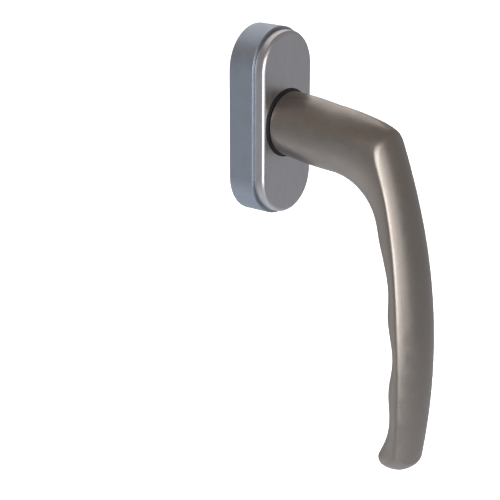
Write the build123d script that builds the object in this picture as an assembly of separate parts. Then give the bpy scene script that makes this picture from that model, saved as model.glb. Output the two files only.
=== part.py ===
from build123d import *
from math import cos, radians, sin
import os

os.makedirs("parts", exist_ok=True)

# Tilt and turn window handle, in millimetres. The origin is on the spindle's axis, at the face that lies on
# the sash. +Z is up, +X is right as seen from the room, and -Y points into the room. A "proud" value is a
# distance from the sash into the room, so it is -Y. The lever hangs down, in its closed position.

# Driving dimensions
ROSE_WIDTH, ROSE_HEIGHT = 29.0, 66.8
BASE_FRONT = 10.2           # proud of the sash: front of the rose's base
COVER_FRONT = 14.4          # front of the cover
COVER_INSET = 1.1           # step between the base's wall and the cover's wall
COVER_WALL, COVER_EDGE = 0.8, 1.3
COVER_LIFT_GAP = 0.1
BASE_EDGE = 0.15
SCREW_CENTRES = 43.0
SCREW_HOLE_R, SLEEVE_R, LUG_LENGTH = 2.65, 5.0, 2.5
SCREW_HEAD_R, SLEEVE_TOP, SCREW_ACCESS_R = 4.85, 7.2, 5.2
SPINDLE = 7.1               # the socket's width across flats, for a 7 mm square spindle
SOCKET_DEPTH = 26.0
FIT = 0.05                  # radial running clearance

# Mechanism, from back to front
PLATE_WIDTH, PLATE_HEIGHT = 24.4, 32.0
PLATE_BACK, PLATE_FRONT = 0.2, 1.2
PLATE_EAR_R, PLATE_EAR_X, PLATE_EAR_Z = 2.4, 10.0, 12.6
PLATE_SCREW_R, PLATE_SCREW_HEAD_R, PLATE_SCREW_FRONT = 0.9, 1.6, 5.0
CHAMBER_WIDTH, CHAMBER_HEIGHT, CHAMBER_FRONT = 23.0, 31.0, 7.0
RING_BACK, RING_FRONT = 1.4, 2.2
WAVE_FRONT, CAM_FRONT, THRUST_BACK = 2.8, 6.2, 6.4
HUB_BACK, HUB_TAIL_R, HUB_GROOVE_R, HUB_JOURNAL_R, HUB_SHANK_R = 0.3, 6.4, 5.7, 6.95, 6.0
HUB_FLATS, HUB_FRONT = 11.2, 34.0
LEAF_SLOT_DEPTH, LEAF_SLOT_FRONT = 0.9, 20.0
CAM_FLATS, CAM_CORNER_R = 13.6, 8.3
LEAF_THICKNESS, LEAF_HALF_LENGTH, LEAF_BACK, LEAF_FRONT = 0.6, 11.0, 3.0, 6.0
SPRING_PIN_R, SPRING_PIN_Z, SPRING_PIN_BACK, SPRING_PIN_FRONT = 0.9, 9.5, 2.0, 9.0

# Neck bearing
BUSH_R, BUSH_FRONT, BUSH_FLOOR = 11.8, 14.9, 10.6
STUB_R, STUB_BACK = 9.5, 10.7
SPIGOT_R, SPIGOT_BACK, BUSH_BORE_R = 8.5, 9.0, 7.35
NECK_BACK = 15.0
FRICTION_BACK, FRICTION_FRONT, FRICTION_DEPTH = 13.6, 14.4, 1.0
HUB_PIN_R, HUB_PIN_PROUD, HUB_PIN_INNER, HUB_PIN_OUTER = 1.1, 12.1, 4.3, 9.2

# Cover's inside
COVER_HOLE_R = 12.1
CARRIER_BACK, CLIP_BACK, CLIP_FRONT, CLIP_OUTER_R = 12.4, 11.7, 12.3, 12.5

# Lever. Its sections stand on planes square to the spindle along the neck, on planes that fan out from a
# line through the inside of the elbow, and on level planes down the grip. Each section is two half
# ellipses that meet at its widest line, and a crowned front surface trims the outer half.
ELBOW_PROUD, ELBOW_Z = 36.0, -38.0
# neck: proud, height of the widest line, half width, reach outwards, reach inwards
NECK_STATIONS = [
    (15.0, 0.0, 11.2, 11.2, 11.2),
    (19.0, -0.25, 10.95, 11.2, 11.45),
    (25.5, -0.65, 10.5, 11.2, 12.4),
    (36.0, -1.3, 9.86, 10.4, 12.75),
]
# elbow: angle of the plane, distance of the widest line from the fan's line, half width, both reaches
ELBOW_STATIONS = [
    (15.0, 37.3, 9.35, 9.5, 13.9),
    (30.0, 37.9, 9.1, 9.6, 15.3),
    (45.0, 35.3, 9.15, 10.0, 13.3),
    (60.0, 32.2, 9.45, 10.0, 10.8),
    (75.0, 30.8, 9.85, 10.0, 10.0),
]
# grip: height, proud, half width, reach inwards
GRIP_STATIONS = [
    (-38.0, 67.35, 10.25, 9.2),
    (-45.0, 68.4, 10.55, 7.7),
    (-52.0, 69.2, 10.8, 7.6),
    (-60.0, 70.0, 10.95, 8.5),
    (-74.0, 70.55, 10.7, 6.15),
    (-86.0, 70.5, 10.15, 8.2),
    (-97.0, 70.1, 9.4, 7.1),
    (-106.0, 69.4, 8.75, 8.4),
    (-113.0, 68.8, 8.15, 11.3),
    (-122.0, 68.0, 7.3, 15.4),
]
GRIP_REACH = 10.0
FRONT_R, FRONT_Z, FRONT_PROUD = 210.0, -78.0, 75.54   # long arc down the middle of the front
CROWN_R = 13.5                                        # arc across the front
GRIP_END, END_R, END_PROUD = -116.7, 24.0, 62.5


def disc(radius, start, end, x=0.0, z=0.0):
    """A cylinder along the spindle's axis, between two proud distances."""
    return extrude(Plane.XZ.offset(start) * Pos(x, z) * Circle(radius), end - start)


def ring(outer, inner, start, end, x=0.0, z=0.0):
    return disc(outer, start, end, x, z) - disc(inner, start - 1, end + 1, x, z)


def obround(width, height, start, end):
    """An upright block with round top and bottom, between two proud distances."""
    return extrude(Plane.XZ.offset(start) * Rot(0, 0, 90) * SlotOverall(height, width), end - start)


def block(width, start, end, height, x=0.0, z=0.0):
    return extrude(Plane.XZ.offset(start) * Pos(x, z) * Rectangle(width, height), end - start)


def cone(radius_start, radius_end, start, end, x=0.0, z=0.0):
    lower = Plane.XZ.offset(start) * Pos(x, z) * Circle(radius_start)
    upper = Plane.XZ.offset(end) * Pos(x, z) * Circle(radius_end)
    return loft([lower, upper])


def save(solids, name):
    export_step(Compound(children=list(solids)) if len(solids) > 1 else solids[0], f"parts/{name}.step")


def at_proud(shape, proud):
    """The edges of a shape that lie wholly at one proud distance."""
    def lies(edge):
        box = edge.bounding_box()
        return abs(box.min.Y + proud) < 1e-3 and abs(box.max.Y + proud) < 1e-3
    return shape.edges().filter_by(lies)


# Rose

def rose_base():
    base = obround(ROSE_WIDTH, ROSE_HEIGHT, 0, BASE_FRONT)
    base = fillet(at_proud(base, BASE_FRONT), BASE_EDGE)
    base -= plate_outline(-1, PLATE_FRONT)
    base -= obround(CHAMBER_WIDTH, CHAMBER_HEIGHT, 0, CHAMBER_FRONT)
    base -= disc(HUB_JOURNAL_R + FIT, 0, BASE_FRONT + 1)
    base -= disc(SPIGOT_R, SPIGOT_BACK, BASE_FRONT + 1)
    for z in (-SCREW_CENTRES / 2, SCREW_CENTRES / 2):
        base -= disc(SLEEVE_R, -1, SLEEVE_TOP, 0, z) + disc(SCREW_ACCESS_R, SLEEVE_TOP, BASE_FRONT + 1, 0, z)
    for x, z in spring_pin_places():
        base -= disc(SPRING_PIN_R, SPRING_PIN_BACK, SPRING_PIN_FRONT, x, z)
    for x, z in plate_screw_places():
        base -= disc(PLATE_SCREW_R, 0, PLATE_SCREW_FRONT, x, z)
    return base


def plate_screw_places():
    """Four corners of the back plate, beside the chamber."""
    return [(x, z) for x in (-PLATE_EAR_X, PLATE_EAR_X) for z in (-PLATE_EAR_Z, PLATE_EAR_Z)]


def spring_pin_places():
    x = CAM_FLATS / 2 + FIT + LEAF_THICKNESS + SPRING_PIN_R
    return [(sx * x, sz * SPRING_PIN_Z) for sx in (-1, 1) for sz in (-1, 1)]


def plate_outline(start, end):
    outline = obround(PLATE_WIDTH, PLATE_HEIGHT, start, end)
    for x, z in plate_screw_places():
        outline += disc(PLATE_EAR_R, start, end, x, z)
    return outline


def plate_screw(x, z):
    """A small countersunk screw with a slot."""
    head = cone(PLATE_SCREW_HEAD_R, PLATE_SCREW_R, PLATE_BACK, PLATE_FRONT, x, z)
    screw = head + disc(PLATE_SCREW_R, PLATE_FRONT, PLATE_SCREW_FRONT, x, z)
    return screw - block(2 * PLATE_SCREW_HEAD_R, 0, PLATE_BACK + 0.4, 0.5, x, z)


def back_plate():
    plate = plate_outline(PLATE_BACK, PLATE_FRONT) - disc(HUB_TAIL_R + 0.4, 0, 2)
    for x, z in plate_screw_places():
        plate -= cone(PLATE_SCREW_HEAD_R, PLATE_SCREW_R, PLATE_BACK, PLATE_FRONT, x, z)
    return plate


def screw_sleeve(z):
    """A steel sleeve with a countersink in front and a locating lug behind."""
    sleeve = disc(SLEEVE_R, -LUG_LENGTH, SLEEVE_TOP, 0, z)
    sleeve = chamfer(at_proud(sleeve, -LUG_LENGTH), 0.6)
    sleeve -= disc(SCREW_HOLE_R, -LUG_LENGTH - 1, SLEEVE_TOP + 1, 0, z)
    depth = SCREW_HEAD_R - SCREW_HOLE_R
    return sleeve - cone(SCREW_HOLE_R, SCREW_HEAD_R, SLEEVE_TOP - depth, SLEEVE_TOP, 0, z)


def neck_bush():
    bush = ring(BUSH_R, STUB_R + FIT, BASE_FRONT, BUSH_FRONT)
    bush += ring(STUB_R + 1, BUSH_BORE_R, BASE_FRONT, BUSH_FLOOR)
    return bush + ring(SPIGOT_R, BUSH_BORE_R, SPIGOT_BACK, BASE_FRONT)


# Detent and drive

def drive_hub():
    hub = disc(HUB_TAIL_R, HUB_BACK, THRUST_BACK)
    hub -= ring(HUB_TAIL_R + 1, HUB_GROOVE_R, RING_BACK, RING_FRONT)
    for side in (-1, 1):
        x = side * (HUB_FLATS / 2 + 2)
        hub -= block(4, WAVE_FRONT, THRUST_BACK, 20, x)
    hub += disc(HUB_JOURNAL_R, THRUST_BACK, STUB_BACK) + disc(HUB_SHANK_R, STUB_BACK, HUB_FRONT)
    hub -= block(SPINDLE, 0, SOCKET_DEPTH, SPINDLE)
    hub -= block(LEAF_SLOT_DEPTH, 1.0, LEAF_SLOT_FRONT, 3.4, SPINDLE / 2 + LEAF_SLOT_DEPTH / 2)
    for side in (-1, 1):
        hub -= radial_pin(side)
    return hub


def radial_pin(side):
    """A pin across the spindle's axis, on one side of it."""
    pin = Plane.XY.offset(HUB_PIN_INNER) * Pos(0, -HUB_PIN_PROUD) * Circle(HUB_PIN_R)
    pin = extrude(pin, HUB_PIN_OUTER - HUB_PIN_INNER)
    return pin if side > 0 else mirror(pin, about=Plane.XY)


def spindle_spring():
    """A bowed leaf in the socket's wall, which presses on a loose spindle."""
    half, bow, thickness = 8.0, 0.35, 0.4
    middle, foot = SPINDLE / 2 - 0.05, SPINDLE / 2 - 0.05 + bow
    centre = -(2.2 + half)
    inner = ThreePointArc((foot, centre - half), (middle, centre), (foot, centre + half))
    outer = ThreePointArc(
        (foot + thickness, centre + half), (middle + thickness, centre), (foot + thickness, centre - half)
    )
    outline = inner + Line(inner @ 1, outer @ 0) + outer + Line(outer @ 1, inner @ 0)
    return extrude(Plane.XY.offset(-1.5) * make_face(outline), 3.0)


def detent_cam():
    """A square with round corners, which the leaf springs hold at each quarter turn."""
    cam = block(CAM_FLATS, WAVE_FRONT, CAM_FRONT, CAM_FLATS) & disc(CAM_CORNER_R, WAVE_FRONT, CAM_FRONT)
    bore = disc(HUB_TAIL_R, 0, 9) & block(HUB_FLATS, 0, 9, 20)
    return cam - bore


def detent_spring(side):
    """A flat leaf that bears on the cam in the middle and on two pins at its ends."""
    x = side * (CAM_FLATS / 2 + FIT + LEAF_THICKNESS / 2)
    leaf = block(LEAF_THICKNESS, LEAF_BACK, LEAF_FRONT, 2 * LEAF_HALF_LENGTH, x)
    for end in (-1, 1):
        leaf += block(1.2, LEAF_BACK, LEAF_FRONT, 0.5, x + side * 0.3, end * (LEAF_HALF_LENGTH - 0.25))
    return leaf


def retaining_ring():
    body = ring(7.6, HUB_GROOVE_R, RING_BACK, RING_FRONT)
    return body - block(2.4, 0, 3, 6, 0, 7.5)


def wave_washer():
    return ring(8.6, HUB_TAIL_R + 0.1, RING_FRONT, WAVE_FRONT)


def thrust_washer():
    return ring(10.0, HUB_JOURNAL_R + 0.35, THRUST_BACK, CHAMBER_FRONT)


def friction_ring():
    return ring(STUB_R, STUB_R - FRICTION_DEPTH, FRICTION_BACK, FRICTION_FRONT)


# Cover

def cover_cap():
    width, height = ROSE_WIDTH - 2 * COVER_INSET, ROSE_HEIGHT - 2 * COVER_INSET
    back = BASE_FRONT + COVER_LIFT_GAP
    cap = obround(width, height, back, COVER_FRONT)
    cap = fillet(at_proud(cap, COVER_FRONT), COVER_EDGE)
    cap -= obround(width - 2 * COVER_WALL, height - 2 * COVER_WALL, 0, COVER_FRONT - COVER_WALL)
    return cap - disc(COVER_HOLE_R, 0, 20)


def cover_carrier():
    """A plastic insert that fills the cap behind its face, with a wall round its edge and two hooks."""
    width = ROSE_WIDTH - 2 * (COVER_INSET + COVER_WALL) - 0.1
    height = ROSE_HEIGHT - 2 * (COVER_INSET + COVER_WALL) - 0.1
    front = COVER_FRONT - COVER_WALL
    back = BASE_FRONT + COVER_LIFT_GAP + 0.2
    plate = obround(width, height, CARRIER_BACK, front)
    wall = obround(width, height, back, CARRIER_BACK) - obround(width - 2, height - 2, 0, 20)
    plate += wall - disc(CLIP_OUTER_R + 0.5, 0, 20)
    for end in (-1, 1):
        z = end * (CLIP_OUTER_R + 0.9)
        plate += block(5, back, CARRIER_BACK, 1.2, 0, z)
    return plate - disc(COVER_HOLE_R, 0, 20)


def cover_clip_ring():
    """A sprung wire ring, which grips the bush and carries the cover."""
    return ring(CLIP_OUTER_R, BUSH_R + 0.08, CLIP_BACK, CLIP_FRONT)


# Lever

def section(plane, half_width, outwards, inwards):
    """Two half ellipses that meet on the section's widest line."""
    outer = EllipticalCenterArc((0, 0), half_width, outwards, start_angle=0, arc_size=180)
    inner = EllipticalCenterArc((0, 0), half_width, inwards, start_angle=180, arc_size=180)
    return plane * make_face([outer, inner])


def lever_plane(angle, proud, z):
    """A plane across the lever's run, whose own y points to the outside of the elbow."""
    a = radians(angle)
    return Plane(origin=(0, -proud, z), x_dir=(1, 0, 0), z_dir=(0, -cos(a), -sin(a)))


def lever_sections():
    faces = []
    for proud, z, half_width, outwards, inwards in NECK_STATIONS:
        faces.append(section(lever_plane(0, proud, z), half_width, outwards, inwards))
    for angle, reach, half_width, outwards, inwards in ELBOW_STATIONS:
        a = radians(angle)
        plane = lever_plane(angle, ELBOW_PROUD + reach * sin(a), ELBOW_Z + reach * cos(a))
        faces.append(section(plane, half_width, outwards, inwards))
    for z, proud, half_width, inwards in GRIP_STATIONS:
        faces.append(section(lever_plane(90, proud, z), half_width, GRIP_REACH, inwards))
    return faces


def crowned_front():
    """The solid behind the lever's front: a long arc turned about a level axis, crowned from side to side."""
    spine = FRONT_R - CROWN_R
    place = Pos(0, FRONT_R - FRONT_PROUD, FRONT_Z) * Rot(0, 90, 0)
    return place * (Torus(spine, CROWN_R) + Cylinder(spine, 2 * CROWN_R + 1))


def lever_reach():
    """All that the domed lower end leaves of the lever."""
    centre = GRIP_END + END_R
    end = Pos(0, -END_PROUD, centre) * Sphere(END_R)
    return end + block(2 * END_R, 0, END_PROUD + END_R, 160, 0, centre + 80)


def lever():
    body = loft(lever_sections())
    body &= crowned_front()
    body &= lever_reach()
    body += disc(STUB_R, STUB_BACK, NECK_BACK)
    body -= disc(HUB_SHANK_R, STUB_BACK - 1, HUB_FRONT + 0.2)
    body -= ring(STUB_R + 1, STUB_R - FRICTION_DEPTH, FRICTION_BACK, FRICTION_FRONT)
    for side in (-1, 1):
        body -= radial_pin(side)
    return body


save([lever()], "lever")
save([rose_base()], "rose_base")
save([back_plate()], "back_plate")
save([plate_screw(x, z) for x, z in plate_screw_places()], "back_plate_screws")
save([screw_sleeve(-SCREW_CENTRES / 2), screw_sleeve(SCREW_CENTRES / 2)], "screw_sleeves")
save([neck_bush()], "neck_bush")
save([drive_hub()], "drive_hub")
save([radial_pin(side) for side in (-1, 1)], "hub_pins")
save([spindle_spring()], "spindle_spring")
save([detent_cam()], "detent_cam")
save([detent_spring(-1)], "detent_spring_left")
save([detent_spring(1)], "detent_spring_right")
save([disc(SPRING_PIN_R, SPRING_PIN_BACK, SPRING_PIN_FRONT, x, z) for x, z in spring_pin_places()], "spring_pins")
save([retaining_ring()], "retaining_ring")
save([wave_washer()], "wave_washer")
save([thrust_washer()], "thrust_washer")
save([friction_ring()], "friction_ring")
save([cover_cap()], "cover_cap")
save([cover_carrier()], "cover_carrier")
save([cover_clip_ring()], "cover_clip_ring")
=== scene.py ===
from math import cos, pi, radians, sin

import bmesh
import bpy
import numpy as np
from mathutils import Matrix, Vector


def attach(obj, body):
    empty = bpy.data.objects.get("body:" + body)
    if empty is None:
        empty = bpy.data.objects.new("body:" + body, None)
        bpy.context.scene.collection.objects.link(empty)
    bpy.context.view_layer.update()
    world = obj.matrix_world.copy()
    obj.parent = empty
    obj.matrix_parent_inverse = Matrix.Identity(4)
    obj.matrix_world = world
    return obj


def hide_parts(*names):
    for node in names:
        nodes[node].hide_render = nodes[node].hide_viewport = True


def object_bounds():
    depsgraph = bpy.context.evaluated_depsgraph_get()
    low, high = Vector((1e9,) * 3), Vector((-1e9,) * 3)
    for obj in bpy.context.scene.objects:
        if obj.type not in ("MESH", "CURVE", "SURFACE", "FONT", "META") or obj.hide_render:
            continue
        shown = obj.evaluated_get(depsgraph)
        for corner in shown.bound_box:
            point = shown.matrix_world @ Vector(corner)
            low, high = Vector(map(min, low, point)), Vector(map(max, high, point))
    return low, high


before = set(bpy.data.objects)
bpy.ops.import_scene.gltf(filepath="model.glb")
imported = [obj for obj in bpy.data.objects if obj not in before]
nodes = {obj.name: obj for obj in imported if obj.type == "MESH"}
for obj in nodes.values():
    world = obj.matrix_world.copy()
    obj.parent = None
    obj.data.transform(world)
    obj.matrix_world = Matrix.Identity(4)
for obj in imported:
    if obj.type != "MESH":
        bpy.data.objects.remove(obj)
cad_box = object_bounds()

import openvdb
from mathutils import Quaternion, Vector

MM = 0.001
scene = bpy.context.scene
scene.view_settings.view_transform = "Standard"

# ---------------------------------------------------------------- lever

# Lengths in this section are in millimetres, and "proud" is the distance from the sash into the room.
# The lever's run goes along the neck, round a fan of planes through the inside of the elbow, and down the
# grip. A section is two half ellipses that meet on its widest line, and the crowned front trims the outer one.
ELBOW_PROUD, ELBOW_Z = 36.0, -38.0
NECK_BACK, NECK_CUT = 15.0, 15.4
RUN_RADIUS = 36.0
RUN_FAN = RUN_RADIUS * pi / 2
FRONT_R, FRONT_Z, FRONT_PROUD = 210.0, -78.0, 75.5
GRIP_END, END_R, END_PROUD = -116.6, 24.0, 62.5
STUB_R, STUB_EDGE_R, GROOVE_R, BORE_R = 9.5, 9.3, 8.5, 6.0
STUB_BACK, STUB_EDGE, GROOVE_BACK, GROOVE_FRONT, BORE_END = 10.7, 10.9, 13.6, 14.4, 34.2
SKIN_TOLERANCE = 0.1
EDGE_ROUND, ELBOW_ROUND, END_ROUND, TIP_ROUND = 0.5, 0.6, 4.0, 2.4


def neck_run(proud):
    return proud - ELBOW_PROUD


def fan_run(angle):
    return RUN_RADIUS * radians(angle)


def grip_run(z):
    return RUN_FAN + ELBOW_Z - z


class Curve:
    """A natural cubic spline through (run, value) pairs."""

    def __init__(self, pairs):
        self.x, self.y = np.array(sorted(pairs), float).T
        n, h = len(self.x), np.diff(self.x)
        system, right = np.eye(n), np.zeros(n)
        slope = np.diff(self.y) / h
        for i in range(1, n - 1):
            system[i, i - 1:i + 2] = h[i - 1], 2 * (h[i - 1] + h[i]), h[i]
            right[i] = 6 * (slope[i] - slope[i - 1])
        self.bend = np.linalg.solve(system, right)

    def __call__(self, run):
        run = np.clip(run, self.x[0], self.x[-1])
        i = np.clip(np.searchsorted(self.x, run) - 1, 0, len(self.x) - 2)
        h = self.x[i + 1] - self.x[i]
        a, b = (self.x[i + 1] - run) / h, (run - self.x[i]) / h
        bend = ((a**3 - a) * self.bend[i] + (b**3 - b) * self.bend[i + 1]) * h**2 / 6
        return a * self.y[i] + b * self.y[i + 1] + bend


MIDDLE = Curve(
    [(neck_run(p), -ELBOW_Z - 0.062 * (p - NECK_BACK)) for p in (5, 15, 25.5, 36)]
    + [(fan_run(a), c) for a, c in ((15, 37.3), (30, 37.9), (45, 35.3), (60, 32.2), (75, 30.8))]
    + [(grip_run(z), c) for z, c in ((-38, 31.35), (-50, 33.0), (-66, 34.4), (-80, 34.6), (-93, 34.3))]
    + [(grip_run(z), c) for z, c in ((-108, 33.1), (-122, 32.0))]
)
HALF_WIDTH = Curve(
    [(neck_run(5), 11.84), (neck_run(15), 11.2), (neck_run(36), 9.86)]
    + [(fan_run(a), w) for a, w in ((15, 9.35), (30, 9.1), (45, 9.15), (60, 9.45), (75, 9.85))]
    + [(grip_run(z), w) for z, w in ((-38, 10.25), (-60, 10.95), (-80, 10.45), (-100, 9.2), (-122, 7.3))]
)
REACH_OUT = Curve(
    [(neck_run(5), 11.2), (neck_run(15), 11.2), (neck_run(25.5), 11.2), (neck_run(36), 10.4)]
    + [(fan_run(a), r) for a, r in ((15, 9.5), (30, 9.6), (45, 10.0), (60, 10.0), (90, 10.0))]
    + [(grip_run(-122), 10.0)]
)
REACH_IN = Curve(
    [(neck_run(5), 10.6), (neck_run(15), 11.2), (neck_run(25.5), 12.4), (neck_run(36), 12.75)]
    + [(fan_run(a), r) for a, r in ((15, 13.9), (30, 15.3), (45, 13.3), (60, 10.8), (75, 10.0))]
    + [(grip_run(z), r) for z, r in ((-38, 9.2), (-45, 7.7), (-52, 7.6), (-60, 8.5), (-74, 6.15))]
    + [(grip_run(z), r) for z, r in ((-86, 8.2), (-97, 7.1), (-106, 8.4), (-113, 11.3), (-122, 15.4))]
)
CROWN_R = Curve([(10, 12), (-10, 12.5), (-38, 14.5), (-66, 14.5), (-93, 12.5), (-108, 11), (-122, 10.5)])


def round_meet(a, b, radius):
    """The overlap of two bodies, given by their distances, with its edge rounded."""
    corner = np.hypot(np.maximum(a + radius, 0), np.maximum(b + radius, 0))
    return np.minimum(-radius, np.maximum(a, b)) + corner


def ease(value):
    """A smooth step from 0 to 1."""
    value = np.clip(value, 0, 1)
    return value**2 * (3 - 2 * value)


def lever_distance(x, proud, z):
    """Roughly the distance from points to the lever's skin, negative inside."""
    along, up = proud - ELBOW_PROUD, z - ELBOW_Z
    angle = np.arctan2(np.maximum(along, 0), np.maximum(up, 0))
    run = np.where(along < 0, along, np.where(up < 0, RUN_FAN - up, RUN_RADIUS * angle))
    out = np.where(along < 0, up, np.where(up < 0, along, np.hypot(along, up)))
    out = out - MIDDLE(run)
    width = HALF_WIDTH(run)
    reach = np.where(out > 0, REACH_OUT(run), REACH_IN(run))
    scaled = np.hypot(x / width, out / reach)
    slope = np.hypot(x / width**2, out / reach**2)
    body = scaled * (scaled - 1) / np.maximum(slope, 1e-6)
    # Behind the crown's centre line, the front's distance stays negative, so that it trims nothing there.
    crown = CROWN_R(z)
    over = np.hypot(proud - (FRONT_PROUD - FRONT_R), z - FRONT_Z) - (FRONT_R - crown)
    front = np.hypot(np.maximum(over, 0), x) - crown + 0.5 * np.minimum(over, 0)
    over_end = z - (GRIP_END + END_R)
    end = np.where(over_end < 0, np.sqrt(x**2 + (proud - END_PROUD) ** 2 + over_end**2) - END_R, -END_R)
    body = round_meet(body, end, END_ROUND)
    radius = EDGE_ROUND + (ELBOW_ROUND - EDGE_ROUND) * ease((z + 6) / 10)
    radius = radius + (TIP_ROUND - EDGE_ROUND) * ease((-108 - z) / 7)
    return round_meet(body, front, radius)


def lever_slope(points, step=0.02):
    moves = np.eye(3) * step
    return np.stack(
        [(lever_distance(*(points + m).T) - lever_distance(*(points - m).T)) / (2 * step) for m in moves], axis=1
    )


def settle(points, rounds):
    """Moves points onto the lever's skin."""
    for _ in range(rounds):
        slope = lever_slope(points)
        distance = lever_distance(*points.T)
        points = points - slope * (distance / np.maximum((slope**2).sum(1), 1e-6))[:, None]
    return points


def lever_skin(voxel=0.5, relax_rounds=12):
    """Points (x, proud, z) and quads of the skin, evenly spread."""
    low = np.array([-13.0, 12.0, -118.0])
    count = np.ceil((np.array([13.0, 78.0, 14.0]) - low) / voxel).astype(int) + 1
    axes = [low[i] + voxel * np.arange(count[i]) for i in range(3)]
    field = lever_distance(*np.meshgrid(*axes, indexing="ij"))
    field = np.clip(field / voxel, -3, 3).astype(np.float32)
    grid = openvdb.FloatGrid(3.0)
    grid.copyFromArray(field)
    points, quads = grid.convertToQuads(isovalue=0.0)
    points = settle(points * voxel + low, 4)
    edges = np.unique(np.sort(np.concatenate([quads[:, [i, (i + 1) % 4]] for i in range(4)]), axis=1), axis=0)
    valence = np.bincount(edges.ravel(), minlength=len(points))[:, None]
    for _ in range(relax_rounds):
        total = np.zeros_like(points)
        np.add.at(total, edges[:, 0], points[edges[:, 1]])
        np.add.at(total, edges[:, 1], points[edges[:, 0]])
        points = settle(points + 0.5 * (total / valence - points), 1)
    return settle(points, 2), quads


def new_object(name, mesh):
    made = bpy.data.objects.new(name, mesh)
    scene.collection.objects.link(made)
    return made


def lever_piece():
    """The skin, cut square at the neck, with its rim, stub and bore added ring by ring."""
    points, quads = lever_skin()
    bm = bmesh.new()
    verts = [bm.verts.new((x, -p, z)) for x, p, z in points]
    for quad in quads:
        bm.faces.new([verts[i] for i in quad])
    bmesh.ops.bisect_plane(
        bm, geom=bm.verts[:] + bm.edges[:] + bm.faces[:], dist=1e-4,
        plane_co=(0, -NECK_CUT, 0), plane_no=(0, 1, 0), clear_outer=True,
    )
    loop = [e for e in bm.edges if e.is_boundary]
    rim = sorted({v for e in loop for v in e.verts}, key=lambda v: np.arctan2(v.co.z, v.co.x))
    directions = [Vector((v.co.x, 0, v.co.z)).normalized() for v in rim]
    lengths = [Vector((v.co.x, 0, v.co.z)).length for v in rim]
    fall = NECK_CUT - NECK_BACK
    rings = [(None, NECK_CUT - fall * sin(a), fall * (1 - cos(a))) for a in np.radians((22.5, 45, 67.5, 90))]
    rings += [(STUB_R, NECK_BACK, 0), (STUB_R, GROOVE_FRONT, 0), (GROOVE_R, GROOVE_FRONT, 0)]
    rings += [(GROOVE_R, GROOVE_BACK, 0), (STUB_R, GROOVE_BACK, 0), (STUB_R, STUB_EDGE, 0)]
    rings += [(STUB_EDGE_R, STUB_BACK, 0), (BORE_R, STUB_BACK, 0), (BORE_R, BORE_END, 0)]
    before = rim
    for radius, proud, inset in rings:
        now = []
        for direction, length in zip(directions, lengths):
            place = direction * (radius or length - inset)
            now.append(bm.verts.new((place.x, -proud, place.z)))
        for i in range(len(now)):
            j = (i + 1) % len(now)
            bm.faces.new((before[i], before[j], now[j], now[i]))
        before = now
    bm.faces.new(before)
    bmesh.ops.recalc_face_normals(bm, faces=bm.faces[:])
    bmesh.ops.scale(bm, vec=(MM, MM, MM), verts=bm.verts[:])
    mesh = bpy.data.meshes.new("lever_casting")
    bm.to_mesh(mesh)
    bm.free()
    mesh.shade_smooth()
    mesh.set_sharp_from_angle(angle=radians(40))
    mesh.normals_split_custom_set(skin_normals(mesh))
    return new_object("lever_casting", mesh)


def skin_normals(mesh):
    """The mesh's corner normals, with the skin's own slope wherever a corner lies on the skin."""
    flip = np.array([1.0, -1.0, 1.0])
    places = np.array([v.co for v in mesh.vertices]) / MM * flip
    on_skin = (places[:, 1] > NECK_CUT + 0.05) & (np.abs(lever_distance(*places.T)) < SKIN_TOLERANCE)
    slope = lever_slope(places) * flip
    slope /= np.maximum(np.linalg.norm(slope, axis=1), 1e-6)[:, None]
    corner = np.array([loop.vertex_index for loop in mesh.loops])
    drawn = np.array([normal.vector for normal in mesh.corner_normals])
    return np.where(on_skin[corner][:, None], slope[corner], drawn).tolist()


# ---------------------------------------------------------------- materials

def material(name):
    made = bpy.data.materials.new(name)
    made.use_nodes = True
    return made, made.node_tree, made.node_tree.nodes["Principled BSDF"]


def add(tree, kind, **inputs):
    made = tree.nodes.new(kind)
    for key, value in inputs.items():
        made.inputs[key.replace("_", " ")].default_value = value
    return made


def object_coordinates(tree, stretch=(1, 1, 1)):
    place = tree.nodes.new("ShaderNodeTexCoord")
    mapping = tree.nodes.new("ShaderNodeMapping")
    mapping.inputs["Scale"].default_value = stretch
    tree.links.new(place.outputs["Object"], mapping.inputs["Vector"])
    return mapping.outputs["Vector"]


def noise(tree, size, detail=2.0, roughness=0.5, stretch=(1, 1, 1)):
    """Noise whose features are about size metres across."""
    made = add(tree, "ShaderNodeTexNoise", Scale=1 / size, Detail=detail, Roughness=roughness)
    tree.links.new(object_coordinates(tree, stretch), made.inputs["Vector"])
    return made.outputs["Fac"]


def ramp(tree, value, low, high, start=0.3, end=0.7):
    """A colour that goes from low to high as value goes from start to end."""
    made = tree.nodes.new("ShaderNodeValToRGB")
    ends = made.color_ramp.elements
    ends[0].position, ends[1].position = start, end
    ends[0].color, ends[1].color = (*low, 1), (*high, 1)
    tree.links.new(value, made.inputs["Fac"])
    return made.outputs["Color"]


def spread(tree, value, low, high):
    """A number that goes from low to high as value goes from 0.3 to 0.7."""
    made = tree.nodes.new("ShaderNodeMapRange")
    made.inputs["From Min"].default_value, made.inputs["From Max"].default_value = 0.3, 0.7
    made.inputs["To Min"].default_value, made.inputs["To Max"].default_value = low, high
    tree.links.new(value, made.inputs["Value"])
    return made.outputs["Result"]


def bump(tree, shader, value, height, strength=1.0):
    made = add(tree, "ShaderNodeBump", Strength=strength, Distance=height)
    tree.links.new(value, made.inputs["Height"])
    tree.links.new(made.outputs["Normal"], shader.inputs["Normal"])


def shaded(colour, factor):
    return tuple(c * factor for c in colour)


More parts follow.
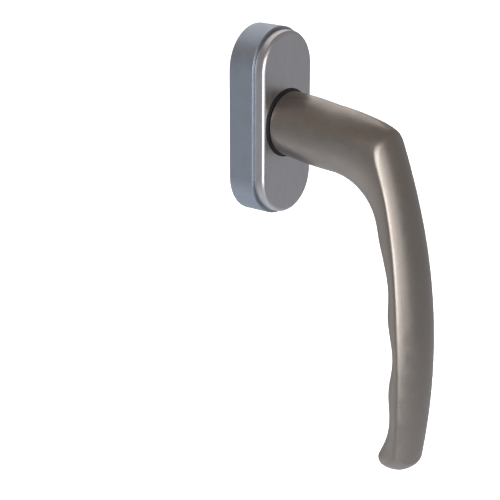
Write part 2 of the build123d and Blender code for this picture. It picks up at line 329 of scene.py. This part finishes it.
def metal(name, colour, roughness, grain, grain_height, mottle=0.05, rough_swing=0.05, stretch=(1, 1, 1)):
    """A satin metallic finish: grain in the bump, cloudy colour and roughness."""
    made, tree, shader = material(name)
    shader.inputs["Metallic"].default_value = 1.0
    cloud = noise(tree, grain * 1.6, 3.0, 0.6, stretch)
    colours = ramp(tree, cloud, shaded(colour, 1 - mottle), shaded(colour, 1 + mottle))
    tree.links.new(colours, shader.inputs["Base Color"])
    broad = noise(tree, grain * 12, 2.0, 0.5, stretch)
    rough = spread(tree, broad, roughness - rough_swing, roughness + rough_swing)
    tree.links.new(rough, shader.inputs["Roughness"])
    bump(tree, shader, noise(tree, grain, 2.0, 0.6, stretch), grain_height)
    return made


def plastic(name, colour, roughness, grain=0.0003, height=0.00001):
    made, tree, shader = material(name)
    cloud = noise(tree, grain * 8, 3.0)
    colours = ramp(tree, cloud, shaded(colour, 0.85), shaded(colour, 1.15))
    tree.links.new(colours, shader.inputs["Base Color"])
    rough = spread(tree, cloud, roughness - 0.04, roughness + 0.04)
    tree.links.new(rough, shader.inputs["Roughness"])
    bump(tree, shader, noise(tree, grain, 3.0), height)
    return made


def dress(node, made):
    slots = nodes[node].data.materials
    slots.clear()
    slots.append(made)


satin_lever = metal("satin_lever", (0.27, 0.243, 0.22), 0.34, 0.0004, 0.000012)
satin_base = metal("satin_base", (0.3, 0.335, 0.39), 0.48, 0.0004, 0.00001)
brushed_cover = metal("brushed_cover", (0.45, 0.445, 0.465), 0.34, 0.00035, 0.000006, stretch=(1, 1, 0.06))
black_plastic = plastic("black_plastic", (0.006, 0.006, 0.007), 0.5)
grey_plastic = plastic("grey_plastic", (0.2, 0.2, 0.21), 0.5)
black_rubber = plastic("black_rubber", (0.015, 0.015, 0.015), 0.7)
zinc_steel = metal("zinc_steel", (0.62, 0.63, 0.65), 0.32, 0.0006, 0.000008, mottle=0.1)
spring_steel = metal("spring_steel", (0.5, 0.52, 0.56), 0.22, 0.0006, 0.000004)

FINISHES = {
    satin_base: ["rose_base"],
    brushed_cover: ["cover_cap"],
    black_plastic: ["neck_bush"],
    grey_plastic: ["cover_carrier"],
    black_rubber: ["friction_ring"],
    zinc_steel: ["drive_hub", "detent_cam", "screw_sleeves", "back_plate", "back_plate_screws", "thrust_washer"],
    spring_steel: [
        "hub_pins", "spindle_spring", "detent_spring_left", "detent_spring_right", "spring_pins",
        "retaining_ring", "wave_washer", "cover_clip_ring",
    ],
}
for made, members in FINISHES.items():
    for member in members:
        dress(member, made)

lever = lever_piece()
lever.data.materials.append(satin_lever)
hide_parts("lever")
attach(lever, "handle")


# ---------------------------------------------------------------- studio

def stage_material(name, colour, roughness):
    made, tree, shader = material(name)
    cloud = noise(tree, 0.2, 2.0)
    tree.links.new(ramp(tree, cloud, shaded(colour, 0.99), colour), shader.inputs["Base Color"])
    shader.inputs["Roughness"].default_value = roughness
    shader.inputs["Specular IOR Level"].default_value = 0.1
    return made


def floor(drop=0.3, size=8.0):
    half = size / 2
    z = cad_box[0].z - drop
    mesh = bpy.data.meshes.new("floor")
    mesh.from_pydata([(-half, -half, z), (half, -half, z), (half, half, z), (-half, half, z)], [], [(0, 1, 2, 3)])
    made = new_object("floor", mesh)
    mesh.materials.append(stage_material("floor_white", (0.92, 0.92, 0.92), 0.9))
    made.visible_glossy = False


def softbox(name, place, aim, size, power, colour=(1, 1, 1)):
    light = bpy.data.lights.new(name, "AREA")
    light.shape, light.size, light.size_y, light.energy, light.color = "RECTANGLE", *size, power, colour
    made = new_object(name, light)
    made.location = place
    made.rotation_mode = "QUATERNION"
    made.rotation_quaternion = (Vector(place) - Vector(aim)).to_track_quat("Z", "Y")
    return made


def around(azimuth, elevation, distance):
    """A place round the object, by the views' own angles."""
    a, e = radians(azimuth), radians(elevation)
    return Vector((sin(a) * cos(e), -cos(a) * cos(e), sin(e))) * distance


def camera(azimuth, elevation, distance, lens, pivot, aim, tilt):
    """Stands at a distance from the pivot, and turns to look at the aim. Tilt rolls it about its own axis."""
    data = bpy.data.cameras.new("camera")
    data.sensor_width, data.lens = 36.0, lens
    made = new_object("camera", data)
    made.location = Vector(pivot) + around(azimuth, elevation, distance)
    made.rotation_mode = "QUATERNION"
    look = (made.location - Vector(aim)).to_track_quat("Z", "Y")
    made.rotation_quaternion = look @ Quaternion((0, 0, 1), radians(tilt))
    scene.camera = made


def studio_world(levels):
    """Light from all round, whose colour goes by height from straight down (0) to straight up (1)."""
    world = bpy.data.worlds.new("studio")
    world.use_nodes = True
    tree = world.node_tree
    split = tree.nodes.new("ShaderNodeSeparateXYZ")
    height = tree.nodes.new("ShaderNodeMapRange")
    height.inputs["From Min"].default_value = -1.0
    by_height = tree.nodes.new("ShaderNodeValToRGB")
    stops = by_height.color_ramp.elements
    for place, colour in levels[1:-1]:
        stops.new(place)
    for stop, (place, colour) in zip(stops, levels):
        stop.position, stop.color = place, (*colour, 1)
    tree.links.new(tree.nodes.new("ShaderNodeTexCoord").outputs["Generated"], split.inputs["Vector"])
    tree.links.new(split.outputs["Z"], height.inputs["Value"])
    tree.links.new(height.outputs["Result"], by_height.inputs["Fac"])
    tree.links.new(by_height.outputs["Color"], tree.nodes["Background"].inputs["Color"])
    scene.world = world


floor()
studio_world([
    (0.0, (0.95, 0.98, 1.05)), (0.25, (0.62, 0.63, 0.66)), (0.4, (0.44, 0.44, 0.45)),
    (0.55, (0.42, 0.42, 0.42)), (0.75, (0.42, 0.37, 0.34)), (1.0, (0.38, 0.35, 0.34)),
])
target = (0.01, -0.035, -0.04)
softbox("key", around(-52, 3, 0.9), target, (0.8, 0.85), 8.2)
softbox("front", around(-18, 6, 1.0), target, (0.5, 0.7), 1.2)
softbox("back", around(150, 38, 1.1), target, (1.5, 1.1), 4.5)
softbox("side", around(-160, -30, 1.1), target, (0.9, 0.8), 0.6)
wash = softbox("floor_wash", (0.9, 0.7, 2.2), (0.9, 0.7, 0), (3, 3), 160)
wash.visible_glossy = False
camera(-53.42, 17.74, 0.5987, 121.7, (0.0046, -0.0295, -0.0436), (-0.0124, -0.0075, -0.0452), 0.03)
